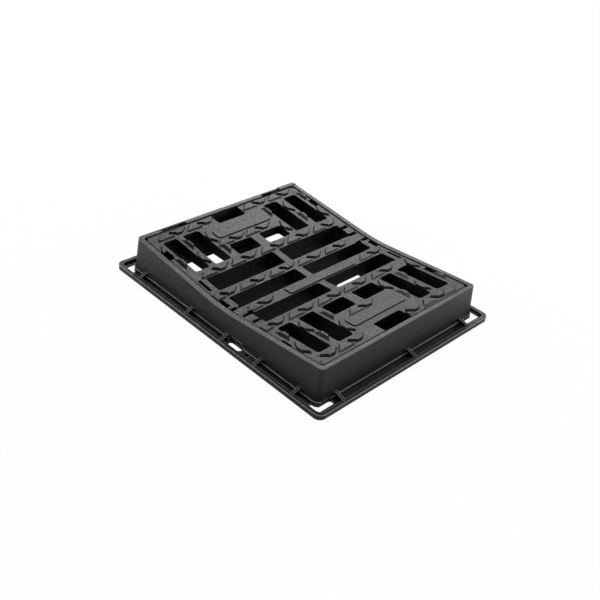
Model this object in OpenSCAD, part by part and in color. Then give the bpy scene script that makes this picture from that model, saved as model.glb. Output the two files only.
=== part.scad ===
// Dished gully grate in its frame, both cast iron. Long side along X, valley of the dish along Y.
// The origin is in the middle of the frame's underside.

/* [Dish] */
// Height of the frame at its two short ends
frame_h = 66; // [58:0.5:80]
// Fall of the dish, in millimetres for each millimetre of length
fall = 0.0957; // [0.06:0.0001:0.12]
// Half length of the rounded valley
valley = 39; // [25:1:60]
// How far the deck lies below the frame's rim
deck_drop = 1.3; // [0:0.1:2.5]

/* [Frame flange] */
// Length of the flange
flange_l = 500; // [494:1:560]
// Width of the flange
flange_w = 420; // [414:1:480]
// Corner radius of the flange
flange_r = 12; // [6:1:18]
// Height of the lip round the flange
lip_h = 9; // [7:0.5:11]
// Width of the lip
lip_w = 6.5; // [4:0.5:8]
// Thickness of the channel floor between the lip and the wall
floor_h = 3.5; // [3:0.5:6]
// Width of the ledge left at the foot of the wall
ledge_w = 1.8; // [1:0.1:3]

/* [Frame wall] */
// Outer length of the wall at the rim
wall_l = 445; // [435:1:452]
// Outer width of the wall at the rim
wall_w = 372; // [362:1:380]
// Outer corner radius of the wall at the rim
wall_r = 7.5; // [5:0.5:14]
// Thickness of the wall at the rim
wall_t = 7.5; // [6:0.5:10]
// Corner radius of the wall's inside
inner_r = 6; // [3:0.5:10]
// How far each side leans out from the rim to the foot
lean = 5.2; // [2:0.1:6]
// Width of the seat under the grate at the short ends
seat_end = 28; // [20:0.5:34]
// Width of the seat under the grate along the long sides
seat_side = 20.5; // [14:0.5:26]
// Corner radius of the clear opening
opening_r = 10; // [4:1:20]
// Length of the two locking lugs on the seat
lug_l = 120; // [80:1:160]
// How far the locking lugs reach into the clear opening
lug_w = 23; // [10:1:30]

/* [Frame details] */
// Places of the small ribs along the near long side
long_ribs = [-188, -62, 26, 104, 188];
// Places of the small ribs along the near short side
short_ribs = [-154, 14, 153];
// Thickness of a rib
rib_t = 5; // [3:0.5:8]
// Height of a rib at the wall
rib_h = 15; // [11:0.5:20]
// Width of the slots through the flange
slot_w = 10; // [6:0.5:11]
// Length of a corner slot's leg along the short side
corner_leg = 38; // [25:1:50]
// Length of a corner slot's foot along the long side
corner_foot = 22; // [12:1:30]
// Place of the fixing slot along the long side
fixing_x = 47; // [44:0.5:50]
// Length of the fixing slot
fixing_l = 28; // [20:1:34]
// Width of the fixing slot
fixing_w = 10; // [6:0.5:12]
// Radius of the scoop in the wall over the fixing slot
scoop_r = 30; // [26:1:40]
// Diameter of the round fixing hole
hole_d = 9; // [5:0.5:10]
// Place of the round fixing hole along the long side
hole_x = 79; // [74:0.5:84]
// Length of the land round the fixing hole
land_l = 33; // [24:1:36]
// Drop of the land below the lip
land_drop = 1; // [0:0.5:3]
// Height of the raised pad on one corner of the rim
pad_h = 1.4; // [1:0.1:3]
// Length of the raised pad
pad_l = 43; // [30:1:60]

/* [Grate] */
// Gap between the grate and the frame, all round
gap = 2; // [1:0.1:3.5]
// Corner radius of the grate
grate_r = 10; // [5:0.5:12]
// Height of the shallow stretch under one cross bar over the seat
bar_lift = 13; // [4:0.5:16]
// Height of the underside of the end bars over the seat
end_lift = 27; // [20:0.5:31]
// Width of the spine along the middle
spine_w = 13.5; // [9:0.5:18]

/* [Slots] */
// Corner radius of the slots
slot_r = 4.5; // [2:0.5:8]
// Distance from the middle to the near end of the end slots
end_slot_x = 98; // [92:0.5:104]
// Length of the end slots
end_slot_l = 89; // [60:0.5:92]
// Width of the end slots
end_slot_w = 29.5; // [20:0.5:33]
// Distance from the middle to the lower end slot
end_slot_y = 82.5; // [78:0.5:86]
// Spacing of the end slots
end_slot_pitch = 46; // [42:0.5:48]
// Width of the two outer rows of cross slots
row_w = 35; // [24:0.5:38]
// Width of the middle row of cross slots
mid_row_w = 31; // [20:0.5:34]
// Distance from the middle to the centre of an outer row
row_x = 56; // [52:0.5:60]
// Width of the solid edge beyond the ends of the cross slots
row_border = 19.75; // [18:0.25:60]
// Width of the square holes, along X
square_x = 31.5; // [20:0.5:34]
// Length of the square holes, along Y
square_y = 51.5; // [30:0.5:56]
// Distance from the middle to a square hole, along Y
square_gap = 10.5; // [8:0.5:14]

/* [Pockets and edge notches] */
// Width of a lifting pocket
pocket_w = 64; // [40:1:72]
// Reach of a lifting pocket from the end of the grate
pocket_l = 26.5; // [18:0.5:32]
// Depth of a lifting pocket below the rim
pocket_d = 38; // [25:1:44]
// Length of an edge notch
notch_l = 21; // [12:0.5:24]
// Depth of an edge notch below the deck
notch_h = 24; // [12:1:30]

/* [Locking tongues] */
// Middle of a locking tongue along the long side
tongue_x = 49.3; // [47:0.1:52]
// Width of a locking tongue
tongue_w = 15.4; // [10:0.2:18]
// Width of the slits beside a tongue
slit_w = 7.4; // [4:0.2:8.4]
// Thickness of a tongue
tongue_t = 18; // [10:1:24]
// Width of the strip of edge that carries a tongue
strip_w = 3.5; // [2.5:0.5:6]

/* [Anti-slip relief] */
// Height of the raised chips
chip_h = 2.6; // [1.5:0.1:4]
// Width of a chip
chip_w = 14; // [10:0.5:16]
// Run of the sloping side of a long chip
side_run = 1.5; // [1:0.5:4]
// Slope of the end facet of a chip, in degrees
facet_slope = 26; // [16:1:40]
// Height of the bare name panels and of the bare band
panel_h = 1.6; // [0.8:0.1:3]
// Length of a name panel
panel_l = 125; // [90:1:130]
// Width of a name panel
panel_w = 23.5; // [16:0.5:26]

/* [Hidden] */
iron = [0.16, 0.165, 0.17];
eps = 0.01;
// How far the foot of a slope runs on below the deck.
sink = 0.3;
far = 400;
fine = 64;
arc_steps = 12;

// The seat's top is level with the lip, and the wall stands on it.
seat_z = lip_h;
inner_l = wall_l - 2 * wall_t;
inner_w = wall_w - 2 * wall_t;
opening_l = inner_l - 2 * seat_end;
opening_w = inner_w - 2 * seat_side;
grate_l = inner_l - 2 * gap;
grate_w = inner_w - 2 * gap;
foot_l = wall_l + 2 * lean;
foot_w = wall_w + 2 * lean;

// Slope of the deck as an angle, and its height at a distance x from the valley.
fall_deg = atan(fall);
function tilt(x) = abs(x) > valley ? fall : fall * abs(x) / valley;
function dish_z(x) = abs(x) > valley
    ? frame_h - fall * (wall_l / 2 - abs(x))
    : frame_h - fall * (wall_l / 2 - valley) - fall / (2 * valley) * (valley * valley - x * x);
function deck_z(x) = dish_z(x) - deck_drop;
function deck_deg(x) = x < 0 ? atan(tilt(x)) : -atan(tilt(x));

// The four quarters of the casting differ a little. For each: its side in x and y, how far its end slots reach
// further out and further in, the shifts of the first end slot's two edges and of the second one's outer edge,
// the inward shift of the square hole in x and in y, and the shift of the cross slot's inner edge.
quarters = [
    [-1, 1, 4, 0, -6, -2, 1.5, 2.2, 2, -2.3],
    [-1, -1, 1, 2, -1.5, 3.4, 0, 2.2, 0, -0.7],
    [1, 1, 0, 0, -1, 0, 1.5, 0, 0, 1.7],
    [1, -1, -1, 0, -3.5, 0.5, -1, 0, 1, 1.7]];
// The middle row of cross slots: side in y, and the shifts of its two edges.
middles = [[1, 2, 0.3], [-1, -0.5, 0.5]];

// Where the rows, bars and panels lie.
side_w = grate_w / 2 - end_slot_y - end_slot_pitch - end_slot_w;
row_top = grate_w / 2 - row_border;
row_l = row_top - spine_w / 2;
end_border = grate_l / 2 - end_slot_x - end_slot_l;
panel_x = end_slot_x + square_x + 32.5;
mid_bar_x = (mid_row_w / 2 + row_x - row_w / 2) / 2;
outer_bar_x = (end_slot_x + row_x + row_w / 2) / 2;
border_x = grate_l / 2 - end_border / 2;
column_x = end_slot_x + square_x + 10;
border_y = grate_w / 2 - side_w / 2;

// Plan of a rectangle with round corners, from its middle.
module plate(l, w, r) {
    union() {
        square([l - 2 * r, w], center = true);
        square([l, w - 2 * r], center = true);
        for (sx = [-1, 1], sy = [-1, 1])
            translate([sx * (l / 2 - r), sy * (w / 2 - r)])
                circle(r = r, $fn = fine);
    }
}

// A block of that plan between two heights.
module block(l, w, r, z0, z1) {
    translate([0, 0, z0])
        linear_extrude(z1 - z0)
            plate(l, w, r);
}

// Everything under the dished surface, raised by rise.
module under_dish(rise) {
    reach = wall_l;
    step = 2 * valley / arc_steps;
    curve = [for (i = [0:arc_steps]) let (x = -valley + i * step) [x, dish_z(x) + rise]];
    points = concat(
        [[-reach, -eps], [-reach, dish_z(reach) + rise]],
        curve,
        [[reach, dish_z(reach) + rise], [reach, -eps]]);
    rotate([90, 0, 0])
        linear_extrude(2 * far, center = true)
            polygon(points);
}

// Wall block that leans out evenly to its foot, with conical corners.
module leaning_block(z0, z1) {
    cx = wall_l / 2 - wall_r;
    cy = wall_w / 2 - wall_r;
    rotate([90, 0, 0])
        linear_extrude(2 * cy, center = true)
            polygon([[-foot_l / 2, z0], [foot_l / 2, z0], [wall_l / 2, z1], [-wall_l / 2, z1]]);
    rotate([90, 0, 90])
        linear_extrude(2 * cx, center = true)
            polygon([[-foot_w / 2, z0], [foot_w / 2, z0], [wall_w / 2, z1], [-wall_w / 2, z1]]);
    for (sx = [-1, 1], sy = [-1, 1])
        translate([sx * cx, sy * cy, z0])
            cylinder(h = z1 - z0, r1 = wall_r + lean, r2 = wall_r, $fn = fine);
}

// Flat bottom plate with the lip round it and the sunk channel inside the lip.
module flange() {
    channel_l = flange_l - 2 * lip_w;
    channel_w = flange_w - 2 * lip_w;
    channel_r = flange_r - lip_w / 2;
    difference() {
        block(flange_l, flange_w, flange_r, 0, lip_h);
        difference() {
            block(channel_l, channel_w, channel_r, floor_h, lip_h + 1);
            block(foot_l + 2 * ledge_w, foot_w + 2 * ledge_w, wall_r + lean + ledge_w, 0, lip_h + 2);
            hole_lands();
        }
    }
}

// The land that fills the channel round each fixing hole.
module hole_lands() {
    land_w = (flange_w - foot_w) / 2;
    for (turn = [0, 180])
        rotate([0, 0, turn])
            translate([hole_x - land_l / 2 + 4, -flange_w / 2, 0])
                cube([land_l, land_w, lip_h - land_drop]);
}

// One small rib across the channel, from the wall at y = 0 out to -reach.
module rib(reach) {
    rotate([90, 0, 90])
        linear_extrude(rib_t, center = true)
            polygon([[lean, 0], [lean, rib_h], [0, rib_h], [-reach, lip_h + 0.4], [-reach, 0]]);
}

module ribs() {
    long_reach = (flange_w - foot_w) / 2 - lip_w / 2;
    short_reach = (flange_l - foot_l) / 2 - lip_w / 2;
    for (turn = [0, 180])
        rotate([0, 0, turn]) {
            for (x = long_ribs)
                translate([x, -foot_w / 2, 0])
                    rib(long_reach);
            for (y = short_ribs)
                translate([foot_l / 2, y, 0])
                    rotate([0, 0, 90])
                        rib(short_reach);
        }
}

// Upright slot of round ends along X, from its middle, cut from the ground up.
module slot_cut(l, w, z1) {
    translate([0, 0, -1])
        linear_extrude(z1 + 1)
            union() {
                square([l - w, w], center = true);
                for (s = [-1, 1])
                    translate([s * (l - w) / 2, 0])
                        circle(d = w, $fn = fine);
            }
}

// Angled slot at one corner: a leg along the short side and a foot along the long side.
module corner_slot() {
    fill = 20;
    outer_x = flange_l / 2 - lip_w - 6.5;
    outer_y = flange_w / 2 - lip_w - 1.5;
    translate([outer_x - slot_w / 2, outer_y - corner_leg / 2])
        rotate([0, 0, 90])
            slot_cut(corner_leg, slot_w, lip_h + 1);
    translate([outer_x - corner_foot / 2, outer_y - slot_w / 2])
        slot_cut(corner_foot, slot_w, lip_h + 1);
    difference() {
        translate([outer_x - fill, outer_y - fill, -1])
            cube([fill - slot_w / 2, fill - slot_w / 2, lip_h + 2]);
        translate([wall_l / 2 - wall_r, wall_w / 2 - wall_r, -2])
            cylinder(h = lip_h + 4, r = wall_r + lean + ledge_w + 0.3, $fn = fine);
    }
}

// Fixing slot, its scoop in the wall's foot, and the round hole beside it.
module fixings() {
    slot_y = -foot_w / 2 - ledge_w + fixing_w / 2 - 5.4;
    hole_y = -(foot_w / 2 + flange_w / 2 - lip_w) / 2;
    scoop_top = lip_h + 5;
    scoop_in = 4;
    scoop_half = 17;
    for (turn = [0, 180])
        rotate([0, 0, turn]) {
            translate([fixing_x, slot_y, 0])
                slot_cut(fixing_l, fixing_w, lip_h + 1);
            intersection() {
                translate([fixing_x, -foot_w / 2 + scoop_in - scoop_r, floor_h])
                    cylinder(h = scoop_top - floor_h, r = scoop_r, $fn = 2 * fine);
                translate([fixing_x - scoop_half, -flange_w / 2 + lip_w, 0])
                    cube([2 * scoop_half, 40, scoop_top + 1]);
            }
            translate([hole_x, hole_y, -1])
                cylinder(h = lip_h + 2, d = hole_d, $fn = fine);
        }
}

// Places of the two grate lugs at the far end, each as start and end along Y.
lug_spans = [[-137, -102], [121, 143]];
// The frame's rim is cut back beside and behind each lug.
rim_spans = [[-138, -84], [97, 144]];
rim_cut = 5;
rim_cut_h = 13;
lug_clear = 1;

module rim_cuts() {
    for (span = rim_spans)
        translate([-inner_l / 2 - rim_cut, span[0], dish_z(inner_l / 2) - rim_cut_h])
            cube([rim_cut + 1, span[1] - span[0], rim_cut_h + 10]);
}

// The rim's raised pad at one corner.
module rim_pad() {
    intersection() {
        leaning_block(seat_z, frame_h + pad_h);
        under_dish(pad_h);
        translate([-wall_l / 2 - lean, wall_w / 2 - pad_l, frame_h - 8])
            cube([lean + wall_t, pad_l + lean, 20]);
    }
}

module locking_lugs() {
    for (s = [-1, 1])
        translate([-lug_l / 2, s > 0 ? opening_w / 2 - lug_w : -opening_w / 2 - 1, 0])
            cube([lug_l, lug_w + 1, seat_z]);
}

module frame() {
    color(iron)
        difference() {
            union() {
                flange();
                intersection() {
                    leaning_block(seat_z - eps, frame_h);
                    under_dish(0);
                }
                rim_pad();
                ribs();
            }
            block(inner_l, inner_w, inner_r, seat_z, frame_h + 20);
            difference() {
                block(opening_l, opening_w, opening_r, -1, seat_z + 1);
                locking_lugs();
            }
            rim_cuts();
            fixings();
            for (mx = [0, 1], my = [0, 1])
                mirror([mx, 0, 0])
                    mirror([0, my, 0])
                        corner_slot();
        }
}

// A slot through the deck between two places along X and two along Y, on the given sides of the middle.
module slot_at(sx, x0, x1, sy, y0, y1) {
    translate([sx * (x0 + x1) / 2, sy * (y0 + y1) / 2, 0])
        block(x1 - x0, y1 - y0, slot_r, 0, frame_h + 9);
}

// All slots and holes through the deck.
module through_slots() {
    row_y = spine_w / 2;
    for (q = quarters) {
        x0 = end_slot_x - q[3];
        x1 = end_slot_x + end_slot_l + q[2];
        y0 = end_slot_y;
        y1 = end_slot_y + end_slot_pitch;
        square_x0 = end_slot_x - q[7];
        square_y0 = square_gap - q[8];
        slot_at(q[0], x0, x1, q[1], y0 + q[4], y0 + end_slot_w + q[5]);
        slot_at(q[0], x0, x1, q[1], y1, y1 + end_slot_w + q[6]);
        slot_at(q[0], square_x0, square_x0 + square_x, q[1], square_y0, square_y0 + square_y);
        slot_at(q[0], row_x - row_w / 2 + q[9], row_x + row_w / 2, q[1], row_y, row_y + row_l);
    }
    for (m = middles)
        slot_at(1, m[1] - mid_row_w / 2, m[2] + mid_row_w / 2, m[0], row_y, row_y + row_l);
}

// Hollows of the underside: under the end bars at -x and below one cross bar.
module underside() {
    foot_y = 16;
    far_y = end_slot_y + end_slot_w - 2;
    shallow_l = 70;
    bar_in = mid_row_w / 2 - 1;
    for (part = [[-row_top, -foot_y, 0], [foot_y, far_y, 2.5]])
        translate([-end_slot_x - end_slot_l / 2, (part[0] + part[1]) / 2, 0])
            block(end_slot_l, part[1] - part[0], slot_r, seat_z - 1, seat_z + end_lift + part[2]);
    translate([bar_in, 45, seat_z - 1])
        cube([row_x - row_w / 2 - bar_in + 3, shallow_l, bar_lift + 1]);
}

// Lifting pockets, open to the ends, with room for the hook under the deck.
module pockets() {
    hook_l = 8;
    hook_w = 44;
    pocket_z = frame_h - pocket_d;
    for (s = [-1, 1])
        translate([0, -2.4 - 1.7 * s, 0]) {
            translate([s * (grate_l / 2 - pocket_l / 2 + slot_r / 2), 0, 0])
                block(pocket_l + slot_r, pocket_w, slot_r, pocket_z, frame_h + 9);
            translate([s * (grate_l / 2 - pocket_l - hook_l / 2), 0, 0])
                block(hook_l + 4, hook_w, 2, pocket_z, pocket_z + 18);
        }
}

// Notches in the long edges: place along X, side, and depth from the edge.
edge_notches = [[-151, 1, 9.5], [137, 1, 9.5], [-153, -1, 11], [138, -1, 4.5]];

module notches() {
    for (n = edge_notches)
        translate([n[0] - notch_l / 2, n[1] > 0 ? grate_w / 2 - n[2] : -grate_w / 2 - 5, 0])
            translate([0, 0, deck_z(n[0]) - notch_h])
                cube([notch_l, n[2] + 5, notch_h + 20]);
}

// Slits round a tongue, its hollow underside, and the hook and recesses beside it.
module lock_cuts() {
    edge_y = -grate_w / 2;
    strip_y = edge_y + strip_w;
    slot_end = -row_top;
    top = frame_h + 9;
    hook_x = mid_row_w / 2 - slit_w + 1.5;
    for (s = [-1, 1])
        translate([tongue_x + s * (tongue_w + slit_w) / 2 - slit_w / 2, strip_y, seat_z - 1])
            cube([slit_w, slot_end + 6 - strip_y, top]);
    translate([tongue_x - tongue_w / 2 - 1, strip_y, seat_z - 1])
        cube([tongue_w + 2, slot_end + 6 - strip_y, deck_z(tongue_x) - tongue_t - seat_z + 1]);
    translate([hook_x, edge_y - 1, seat_z - 1])
        cube([slit_w, 14.5, top]);
    translate([hook_x + 0.5, slot_end - 4, seat_z - 1])
        cube([slit_w - 1.5, 12, top]);
    translate([-mid_row_w / 2 - 2, edge_y - 1, deck_z(0) - 12])
        cube([21.6, 9.5, 30]);
    translate([-row_x - row_w / 2 - 1.5, edge_y + 4.5, deck_z(row_x) - 10])
        cube([30.5, 6, 30]);
}

module lugs() {
    depth = rim_cut_h - 2;
    for (span = lug_spans)
        intersection() {
            translate([-inner_l / 2 - rim_cut + lug_clear, span[0] + lug_clear, dish_z(inner_l / 2) - depth])
                cube([rim_cut + gap + 10, span[1] - span[0] - 2 * lug_clear, depth + 10]);
            under_dish(-deck_drop);
        }
}

// Puts a chip on the deck at x, y, laid along the slope there.
module on_deck(x, y) {
    translate([x, y, deck_z(x)])
        rotate([0, deck_deg(x), 0])
            children();
}

// Everything above a plane that starts at the chip's top over p and falls to the deck in a given run.
// The plane falls towards the direction turn, in degrees from +x.
module fall_away(p, turn, run) {
    translate([p[0], p[1], chip_h])
        rotate([0, 0, turn])
            rotate([0, atan((chip_h + sink) / run), 0])
                translate([0, -40, 0])
                    cube([40, 80, 20]);
}

// Plain raised chip over an outline.
module chip(outline) {
    translate([0, 0, -1])
        linear_extrude(chip_h + 1)
            polygon(outline);
}

// Long chip with slanted ends, below the facet at y = 0. Its +x side slopes down over run.
module long_chip(h, run) {
    difference() {
        chip([[-h, -14], [-0.17 * h, -12.3], [1.14 * h, -4], [1.17 * h, -8], [1.17 * h, -39], [-h, -24]]);
        fall_away([1.17 * h - run, 0], 0, run);
        fall_away([-h + 1.2, 0], 180, 1.5);
        fall_away([-h + 1, -24], -136, 1.6);
    }
}

// Short chip above it. Its lower end falls away in one slanted facet, and so does its +x side.
module short_chip(h) {
    facet_run = chip_h / tan(facet_slope);
    difference() {
        chip([[-h, -4.5], [-0.5 * h, -9], [0.86 * h, -0.5], [1.14 * h, 3.5], [1.1 * h, 11], [-h, 29]]);
        fall_away([0.54 * h, 0], 0, 0.6 * h);
        fall_away([-h + 1.2, 0], 180, 1.5);
        intersection() {
            fall_away([-0.74 * h, -4.4], -37, facet_run);
            translate([0, 0, -2])
                linear_extrude(chip_h + 4)
                    polygon([[-2 * h, -16], [1.5 * h, -8], [0.86 * h, 0.8], [0.33 * h, 5.6], [-1.1 * h, -7.6]]);
        }
    }
}

// A column of chips on a bar along Y, at the given places of the facets, and single short and long ones.
module chip_column(x, places, short_ones = [], long_ones = []) {
    for (y = concat(places, long_ones))
        on_deck(x, y)
            long_chip(chip_w / 2, side_run);
    for (y = concat(places, short_ones))
        on_deck(x, y)
            short_chip(chip_w / 2);
}

// A row of chips on a bar along X, with the facets at the given places, and the long chips apart.
module chip_row(y, w, long_places, facet_places) {
    long_up = 3.4;
    facet_down = 3.6;
    for (x = long_places)
        on_deck(x, y)
            mirror([1, 1, 0])
                translate([-long_up, 22, 0])
                    long_chip(w / 2, 0.58 * w);
    for (x = facet_places)
        on_deck(x, y)
            mirror([1, 1, 0])
                translate([facet_down, 0, 0])
                    short_chip(w / 2);
}

// All chips over the deck, cut back to the slots and the edge afterwards.
module relief() {
    bar_w = end_slot_pitch - end_slot_w - 3.5;
    bar_y = end_slot_y + end_slot_w + (end_slot_pitch - end_slot_w) / 2;
    low_y = (square_gap + square_y + end_slot_y) / 2;
    chip_column(2 - outer_bar_x, [-123.5, -58.5, 9, 72.3, 138]);
    chip_column(0.5 - mid_bar_x, [-154, -88.8, -22.5]);
    chip_column(2.8 - mid_bar_x, [42.3, 108.4]);
    chip_column(mid_bar_x + 1.6, [-122.5, 142.5]);
    chip_column(outer_bar_x + 0.5, [-153, -88, -22.4, 39.4, 108.6]);
    chip_column(-border_x - 1.5, [-123.2, -60.4]);
    chip_column(-border_x - 3.5, [71.7, 134.4]);
    chip_column(border_x - 1.5, [-94.3], short_ones = [-154.6]);
    chip_column(border_x + 0.5, [39.8, 104.6], long_ones = [157]);
    chip_column(1 - column_x, [-40.2, 21.7]);
    chip_column(column_x + 2, [-7.4]);
    chip_row(bar_y - 0.8, bar_w, [-126], [-155]);
    chip_row(low_y - 2.4, bar_w, [-170], [-110.5]);
    chip_row(-low_y, bar_w, [-121], [-151]);
    chip_row(-bar_y - 1, bar_w, [-161.5], [-110.5]);
    chip_row(bar_y - 1.5, bar_w, [119], [172.5]);
    chip_row(low_y, bar_w, [160], [130]);
    chip_row(-low_y + 0.5, bar_w, [124], [174.5]);
    chip_row(-bar_y, bar_w, [160], [134]);
    chip_row(border_y, bar_w - 1, [-177], [-111]);
    chip_row(border_y, bar_w - 1, [162], [111]);
    chip_row(-border_y + 1.5, bar_w - 1, [-124], [-154]);
    chip_row(-border_y + 2, bar_w - 1, [121], [172]);
}

// Bare name panels at both ends and the bare band on one cross bar.
module panels() {
    band_l = 157;
    band_w = 18;
    for (s = [-1, 1])
        on_deck(s * panel_x, 0)
            block(panel_w, panel_l, 5, -1, panel_h);
    on_deck(mid_bar_x + 1.6, 11.5)
        block(band_w, band_l, 2, -1, panel_h + 0.4);
}

// Small round dent at one corner of the deck.
module corner_mark() {
    inset = [8.5, 6];
    x = grate_l / 2 - inset[0];
    translate([x, inset[1] - grate_w / 2, deck_z(x) - 0.8])
        cylinder(h = 9, d = 5.5, $fn = 24);
}

module grate() {
    color(iron)
        difference() {
            union() {
                intersection() {
                    block(grate_l, grate_w, grate_r, seat_z, frame_h + 20);
                    union() {
                        under_dish(-deck_drop);
                        relief();
                        panels();
                    }
                }
                lugs();
            }
            through_slots();
            underside();
            pockets();
            corner_mark();
            notches();
            for (turn = [0, 180])
                rotate([0, 0, turn])
                    lock_cuts();
        }
}

frame();
grate();
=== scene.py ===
"""Looks for the dished gully grate in its flanged frame: two black-painted iron castings on a pale studio floor.

Both castings keep the meshes of the CAD model. This script gives them their paint, and adds the floor, three softboxes
and a camera at the photograph's angle. Lengths are in metres, powers in watts, and colours are linear.
"""

import bpy
import numpy as np
from mathutils import Matrix, Vector

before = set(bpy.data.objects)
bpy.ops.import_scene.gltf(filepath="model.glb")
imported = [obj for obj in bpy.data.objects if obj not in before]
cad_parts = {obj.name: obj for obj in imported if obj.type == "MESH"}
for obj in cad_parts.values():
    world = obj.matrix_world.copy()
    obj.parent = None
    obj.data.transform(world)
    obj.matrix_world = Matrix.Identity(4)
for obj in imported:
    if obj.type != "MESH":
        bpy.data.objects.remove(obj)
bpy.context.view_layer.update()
scene = bpy.context.scene

# The top of the grate: a rounded rectangle about the origin, and the band along its edge that is painted in shade, as
# if the casting rolled off there into the gap.
GRATE_HALF_LENGTH = 0.213
GRATE_HALF_WIDTH = 0.1765
GRATE_CORNER = 0.010
GRATE_SHADE_BAND = 0.0022

# Up to this height, on the flange, the edges are painted grey, partly as wear and partly as a painted highlight;
# higher up the grey is a share of that.
FULL_EDGE_GREY_HEIGHT = 0.022
EDGE_GREY_HIGHER_UP = 0.3

# A nook is where something else stands within this distance. Painted shade in it keeps the lighter grey off and dulls
# the paint by so much roughness.
NOOK_REACH = 0.005
SHADE_DULLS = 0.55

# The floor lies a hair below the castings' flat underside, so that the two never share a plane.
FLOOR_HALF_SIDE = 6.0
FLOOR_HEIGHT = -0.0001
FLOOR_PAINT = (0.86, 0.86, 0.86)
WHITE = (1.0, 1.0, 1.0)

COOL_WHITE = (0.97, 0.985, 1.0)
COOLER_WHITE = (0.94, 0.975, 1.0)


class Maths:
    """A shader socket that Python's operators work on: each operation on values adds one Math node."""

    def __init__(self, nodes, socket):
        self.nodes = nodes
        self.socket = socket

    def _op(self, operation, first, second=None):
        node = self.nodes.tree.nodes.new("ShaderNodeMath")
        node.operation = operation
        for socket, value in zip(node.inputs, (first, second)):
            self.nodes.feed(socket, value)
        return Maths(self.nodes, node.outputs[0])

    def __add__(self, other):
        return self._op("ADD", self, other)

    __radd__ = __add__

    def __sub__(self, other):
        return self._op("SUBTRACT", self, other)

    def __rsub__(self, other):
        return self._op("SUBTRACT", other, self)

    def __mul__(self, other):
        return self._op("MULTIPLY", self, other)

    def clamp(self):
        """The value held between 0 and 1."""
        held = self._op("ADD", self, 0.0)
        held.socket.node.use_clamp = True
        return held

    def size(self):
        return self._op("ABSOLUTE", self)

    def root(self):
        return self._op("SQRT", self)

    def at_least(self, other):
        return self._op("MAXIMUM", self, other)


class Nodes:
    """The node tree of a material or of the world, and the few ways its nodes are made."""

    def __init__(self, owner, output):
        owner.use_nodes = True
        self.tree = owner.node_tree
        self.tree.nodes.clear()
        self.output = self.node(output)

    def feed(self, socket, value):
        """Links a socket or an expression to the socket, or sets the number or colour on it."""
        if value is None:
            return
        if isinstance(value, Maths):
            value = value.socket
        if isinstance(value, bpy.types.NodeSocket):
            self.tree.links.new(value, socket)
        elif isinstance(value, tuple) and socket.type == "RGBA":
            socket.default_value = (*value, 1.0)
        else:
            socket.default_value = value

    def node(self, kind, settings=None, **inputs):
        """Adds a node. Its settings are set first, then its sockets by name, or by number as i0, i1."""
        node = self.tree.nodes.new("ShaderNode" + kind)
        for key, value in (settings or {}).items():
            if key == "stops":
                for stop, (place, grey) in zip(node.color_ramp.elements, value):
                    stop.position = place
                    stop.color = (grey, grey, grey, 1.0)
            else:
                setattr(node, key, value)
        for key, value in inputs.items():
            numbered = key[0] == "i" and key[1:].isdigit()
            socket = node.inputs[int(key[1:]) if numbered else key.replace("_", " ")]
            self.feed(socket, value)
        return node

    def value(self, socket):
        return Maths(self, socket)

    def noise(self, place, scale, detail, rough):
        """Cloudy noise between about 0 and 1, with so many features a metre."""
        noise = self.node("TexNoise", Vector=place, Scale=scale, Detail=detail, Roughness=rough)
        return self.value(noise.outputs["Fac"])

    def ramp(self, value, stops):
        """The value through two stops, each a place on the ramp and the grey there."""
        return self.value(self.node("ValToRGB", {"stops": stops}, Fac=value).outputs["Color"])

    def blend(self, factor, first, second):
        """A colour that goes from the first to the second as the factor goes from 0 to 1."""
        return self.node("Mix", {"data_type": "RGBA"}, i0=factor, i6=first, i7=second).outputs[2]

    def openness(self, reach, **settings):
        """1 where nothing stands within reach of the surface, less in nooks, or near outer edges if seen inside."""
        seen = self.node("AmbientOcclusion", {"samples": 8, **settings}, Distance=reach)
        return self.value(seen.outputs["AO"])

    def show(self, shader):
        self.tree.links.new(shader.outputs[0], self.output.inputs["Surface"])


def border_shade(f, place):
    """Painted shade: 1 at the grate's outline, where the casting would roll off into the gap, and 0 a band's width
    inside it.

    The distance from a rounded rectangle's corner centres is the length of (|x| - a, |y| - b), each at least 0.
    """
    axes = f.node("SeparateXYZ", Vector=place).outputs
    past_x = (f.value(axes["X"]).size() - (GRATE_HALF_LENGTH - GRATE_CORNER)).at_least(0.0)
    past_y = (f.value(axes["Y"]).size() - (GRATE_HALF_WIDTH - GRATE_CORNER)).at_least(0.0)
    reach = (past_x * past_x + past_y * past_y).root()
    return ((reach - (GRATE_CORNER - GRATE_SHADE_BAND)) * (1.0 / GRATE_SHADE_BAND)).clamp()


def worn_and_highlit_edges(f, place, wear_and_highlight_width):
    """Edge wear and a painted highlight: 1 on outer edges, found by looking into the iron for air close by, and less
    above the flange.
    """
    height = f.value(f.node("SeparateXYZ", Vector=place).outputs["Z"])
    edge_grey_share = ((FULL_EDGE_GREY_HEIGHT - height) * 200.0).clamp().at_least(EDGE_GREY_HIGHER_UP)
    iron = f.openness(wear_and_highlight_width, inside=True, only_local=True)
    return ((0.84 - iron) * 4.5).clamp() * edge_grey_share


def dust_and_lit_tops(f, facing, clouds):
    """Dust and painted light on the tops: 1 on faces that look up, 0 on faces steeper than about 28 degrees, and
    patchy in between.
    """
    up = f.value(f.node("SeparateXYZ", Vector=facing).outputs["Z"])
    return ((up - 0.88) * 10.0).clamp() * f.ramp(clouds, [(0.34, 0.35), (0.66, 1.0)])


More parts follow.
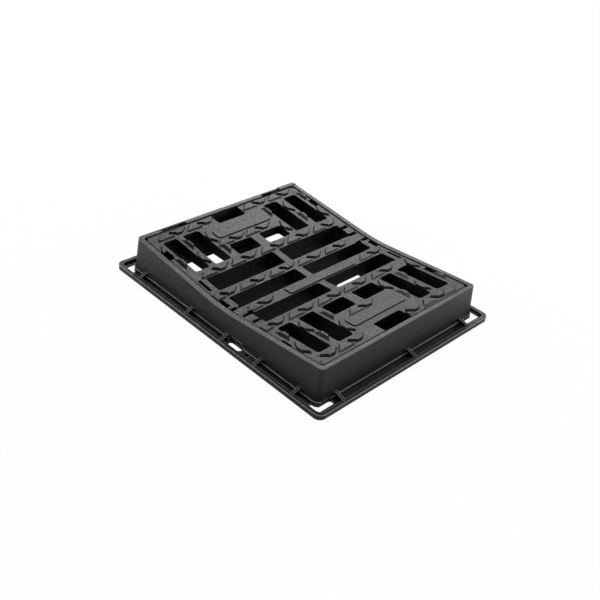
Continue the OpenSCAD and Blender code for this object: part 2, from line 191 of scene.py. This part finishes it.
def painted_iron(name, black, dusty_lit_grey, worn_highlight_grey, edge_radius, wear_and_highlight_width, sheen, blotch, shine, with_border_shade=False):
    """Black bitumen paint on a sand-cast skin: fine sand grain, soft unevenness of the mould and rounded edges.

    Dust, with painted light, lies on the faces that look up, painted shade sits in the nooks, and the edges are grey,
    as wear and as a painted highlight.
    """
    material = bpy.data.materials.new(name)
    f = Nodes(material, "OutputMaterial")
    place = f.node("TexCoord").outputs["Object"]
    facing = f.node("NewGeometry").outputs["Normal"]
    sand = f.noise(place, 900, 3.0, 0.62)
    pits = f.noise(place, 420, 1.0, 0.5)
    mould = f.noise(place, 95, 2.0, 0.55)
    patches = f.noise(place, 60, 4.0, 0.68)
    sag = f.noise(place, 26, 3.0, 0.6)

    # Painted shade in the nooks: less of the lighter grey, and duller paint.
    nook_shade = ((0.89 - f.openness(NOOK_REACH)) * 2.6).clamp()
    # Painted shade along the grate's border, where the casting would roll off into the gap.
    if with_border_shade:
        nook_shade = nook_shade.at_least(border_shade(f, place))
    # Dust and painted light: faces that look up are lighter.
    dust_and_top_light = dust_and_lit_tops(f, facing, patches * 0.6 + sag * 0.4) * (1.0 - nook_shade)
    # Edge wear and a painted highlight: outer edges turn grey.
    wear_and_highlight = worn_and_highlit_edges(f, place, wear_and_highlight_width) * (patches * 0.8 + 0.5).clamp()

    thin_black = tuple(2.2 * part for part in black)
    colour = f.blend(f.ramp(pits, [(0.36, 0.0), (0.66, 1.0)]), black, thin_black)
    colour = f.blend(dust_and_top_light, colour, dusty_lit_grey)
    colour = f.blend(wear_and_highlight, colour, worn_highlight_grey)
    rough = (sheen + (sag - 0.5) * blotch + (mould - 0.5) * 0.16 + (pits - 0.5) * 0.40 + nook_shade * SHADE_DULLS).clamp()

    rounded = f.node("Bevel", {"samples": 6}, Radius=edge_radius).outputs[0]
    uneven = f.node("Bump", Strength=0.5, Distance=0.0016, Height=mould * 0.5 + sag * 0.5, Normal=rounded)
    grain = sand * 0.6 + f.ramp(pits, [(0.30, 0.0), (0.48, 1.0)]) * 0.4
    sandy = f.node("Bump", Strength=0.6, Distance=0.0008, Height=grain, Normal=uneven.outputs[0])
    f.show(f.node(
        "BsdfPrincipled", Base_Color=colour, Roughness=rough, Specular_IOR_Level=shine, Normal=sandy.outputs[0]))
    return material


def grate_paint():
    """The grate's paint: small crisp edges, and a faint sheen on the deck."""
    return painted_iron(
        "grate_paint", black=(0.0026, 0.0028, 0.0030), dusty_lit_grey=(0.034, 0.035, 0.036), worn_highlight_grey=(0.08, 0.08, 0.08),
        edge_radius=0.0005, wear_and_highlight_width=0.0012, sheen=0.33, blotch=0.14, shine=0.30, with_border_shade=True)


def frame_paint():
    """The frame's paint: softer edges, grey on the lip, the ledge and the ribs, as wear and as a painted highlight."""
    return painted_iron(
        "frame_paint", black=(0.0042, 0.0044, 0.0046), dusty_lit_grey=(0.052, 0.053, 0.053), worn_highlight_grey=(0.38, 0.38, 0.38),
        edge_radius=0.0014, wear_and_highlight_width=0.0018, sheen=0.37, blotch=0.12, shine=0.44)


def floor_finish(white, mirrored):
    """Pale matt floor that the camera sees as white, all but a faint shadow, and reflections see in part so."""
    material = bpy.data.materials.new("studio_floor")
    f = Nodes(material, "OutputMaterial")
    matt = f.node("BsdfDiffuse", Color=FLOOR_PAINT)
    plain = f.node("Emission", Color=WHITE, Strength=1.0)
    rays = f.node("LightPath").outputs
    others = f.value(rays["Is Glossy Ray"]) + f.value(rays["Is Transmission Ray"])
    share = f.value(rays["Is Camera Ray"]) * white + others * mirrored
    f.show(f.node("MixShader", i0=share, i1=matt.outputs[0], i2=plain.outputs[0]))
    return material


def lay_floor():
    """Flat square at the ground: the corners of a grid of two values of u by two of v, at one height."""
    sides = [-FLOOR_HALF_SIDE, FLOOR_HALF_SIDE]
    u, v = np.meshgrid(sides, sides)
    points = np.stack([u, v, np.full_like(u, FLOOR_HEIGHT)], axis=-1).reshape(-1, 3)
    mesh = bpy.data.meshes.new("floor")
    mesh.from_pydata(points.tolist(), [], [(0, 1, 3, 2)])
    mesh.materials.append(floor_finish(white=0.975, mirrored=0.05))
    floor = bpy.data.objects.new("floor", mesh)
    scene.collection.objects.link(floor)


def soft_light(name, place, size, power, tint):
    """Rectangular softbox that looks at the part."""
    lamp = bpy.data.lights.new(name, "AREA")
    lamp.energy = power
    lamp.color = tint
    lamp.shape = "RECTANGLE"
    lamp.size, lamp.size_y = size
    light = bpy.data.objects.new(name, lamp)
    scene.collection.objects.link(light)
    light.location = place
    light.rotation_euler = (-Vector(place)).to_track_quat("-Z", "Y").to_euler()


def studio_air(strength, mirrored):
    """World that fills the shadows, is white to the camera and shows in reflections at its own level."""
    world = bpy.data.worlds.new("studio_air")
    scene.world = world
    air = Nodes(world, "OutputWorld")
    rays = air.node("LightPath").outputs
    level = strength
    for ray, seen in (("Is Glossy Ray", mirrored), ("Is Transmission Ray", 1.0), ("Is Camera Ray", 1.0)):
        level = air.node("Mix", Factor=rays[ray], A=level, B=seen).outputs["Result"]
    air.show(air.node("Background", Color=WHITE, Strength=level))


def set_camera():
    """Camera at the photograph's angle: its place, and its right, down and forward directions."""
    right = Vector((0.69754676, 0.70875102, 0.10535898))
    down = Vector((0.46504183, -0.33593087, -0.81907664))
    ahead = Vector((-0.54512807, 0.62034059, -0.56392636))
    place = Vector((0.81323353, -0.92334984, 0.82620246))
    lens = bpy.data.cameras.new("camera")
    lens.sensor_width = 36.0
    lens.lens = 51.12
    lens.shift_x = -0.00205
    lens.clip_start = 0.05
    camera = bpy.data.objects.new("camera", lens)
    scene.collection.objects.link(camera)
    camera.matrix_world = Matrix.Translation(place) @ Matrix((right, -down, -ahead)).transposed().to_4x4()
    scene.camera = camera


scene.view_settings.view_transform = "Standard"
set_camera()
lay_floor()
studio_air(strength=0.48, mirrored=0.09)
soft_light("back_softbox", place=(-1.45, 1.7, 1.6), size=(1.3, 0.8), power=32, tint=COOLER_WHITE)
soft_light("left_softbox", place=(-1.9, -1.7, 0.55), size=(1.4, 0.9), power=32, tint=COOL_WHITE)
soft_light("right_softbox", place=(1.7, 1.9, 0.7), size=(1.4, 0.9), power=32, tint=COOL_WHITE)

for node, paint in (("grate", grate_paint()), ("frame", frame_paint())):
    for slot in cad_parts[node].material_slots:
        slot.material = paint
